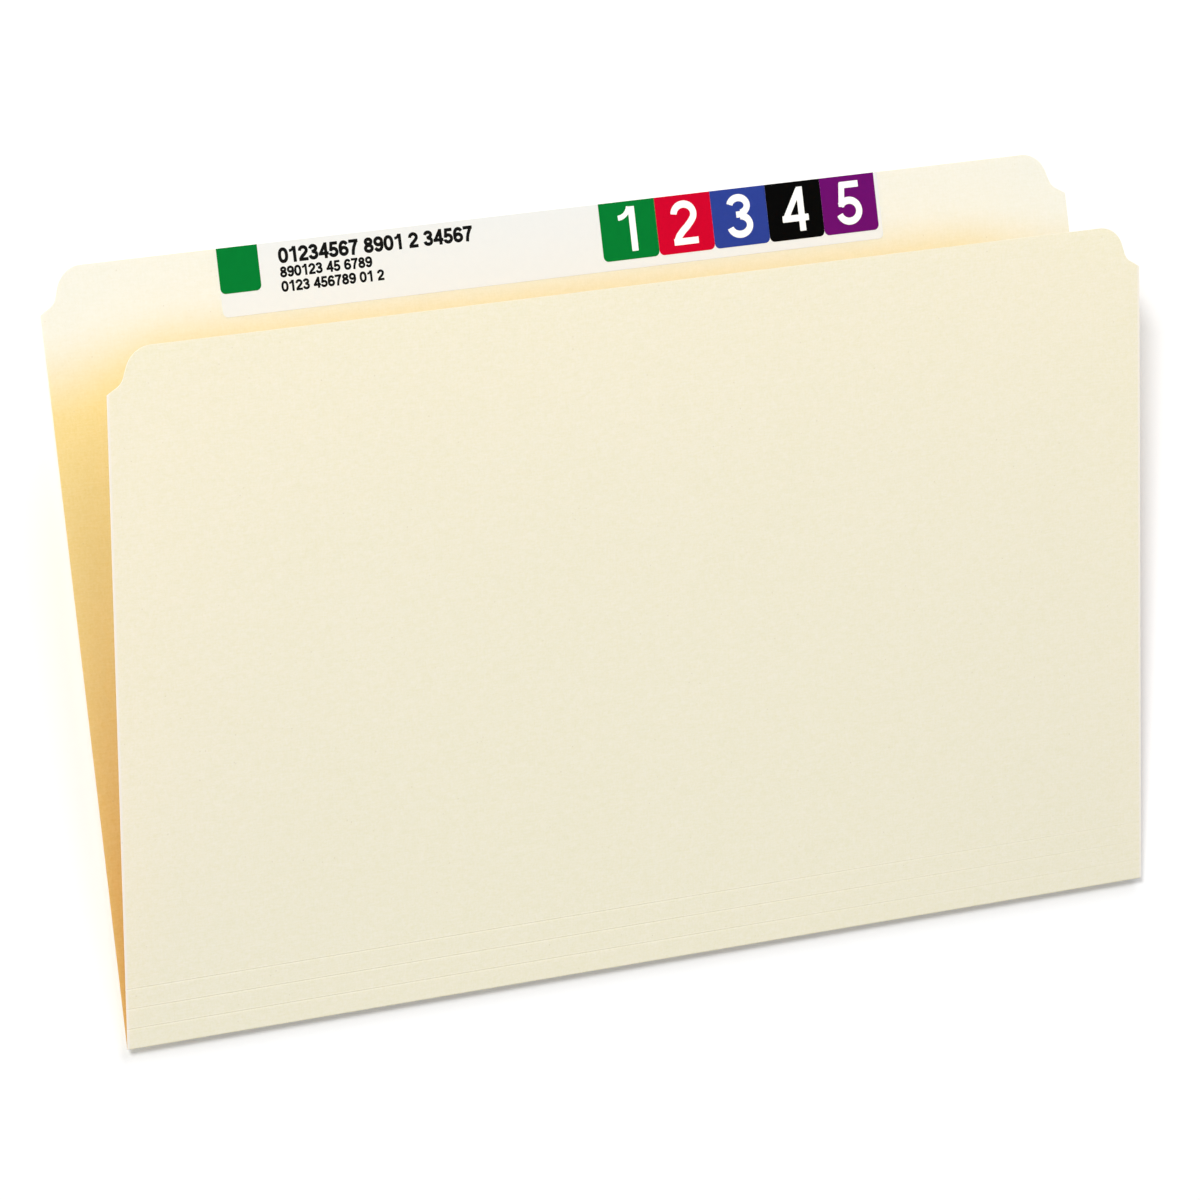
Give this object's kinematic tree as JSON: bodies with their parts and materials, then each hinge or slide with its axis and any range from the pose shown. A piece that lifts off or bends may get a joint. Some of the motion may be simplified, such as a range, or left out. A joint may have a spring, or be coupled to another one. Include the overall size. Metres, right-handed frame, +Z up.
{
  "type": "manila file folder",
  "caption": "Legal-size straight-cut manila file folder that opens at its bottom fold and bends at three score lines above it, with plain index labels along the back tab.",
  "frame": {"origin": "on the surface the folder lies on, under the middle of its bounding box", "axes": "+X along the fold towards the right-hand edge, +Y from the fold to the tab at the top edge, +Z up, away from the surface, from the back panel to the front panel"},
  "size_m": [0.3746, 0.2414, 0.0425],
  "materials": {
    "manila_board": "uncoated cream manila board",
    "label_paper": "smooth white label paper",
    "sticker_green": "satin printed label",
    "sticker_red": "satin printed label",
    "sticker_blue": "satin printed label",
    "sticker_black": "satin printed label",
    "sticker_purple": "satin printed label"
  },
  "bodies": {
    "back": {"back_panel": "manila_board", "name_label": "label_paper", "colour_label": "sticker_green", "digit_label_1": "sticker_green", "digit_label_2": "sticker_red", "digit_label_3": "sticker_blue", "digit_label_4": "sticker_black", "digit_label_5": "sticker_purple"},
    "strip_lower": {"bottom_fold": "manila_board", "gusset_strip_lower": "manila_board"},
    "strip_middle": {"score_line_lower": "manila_board", "gusset_strip_middle": "manila_board"},
    "strip_upper": {"score_line_middle": "manila_board", "gusset_strip_upper": "manila_board"},
    "front": {"score_line_upper": "manila_board", "front_panel": "manila_board"}
  },
  "joints": [
    {"name": "cover_opening", "type": "hinge", "parent": "back", "child": "strip_lower", "pos_m": [0, -0.12063, 0.00033], "axis": [1, 0, 0], "range_deg": [-11, 169]},
    {"name": "lower_score_bend", "type": "hinge", "parent": "strip_lower", "child": "strip_middle", "pos_m": [0, -0.11464, 0.00183], "axis": [1, 0, 0], "range_deg": [0, 60]},
    {"name": "middle_score_bend", "type": "hinge", "parent": "strip_middle", "child": "strip_upper", "pos_m": [0, -0.10841, 0.00304], "axis": [1, 0, 0], "range_deg": [0, 60]},
    {"name": "upper_score_bend", "type": "hinge", "parent": "strip_upper", "child": "front", "pos_m": [0, -0.10218, 0.00425], "axis": [1, 0, 0], "range_deg": [0, 60]}
  ]
}
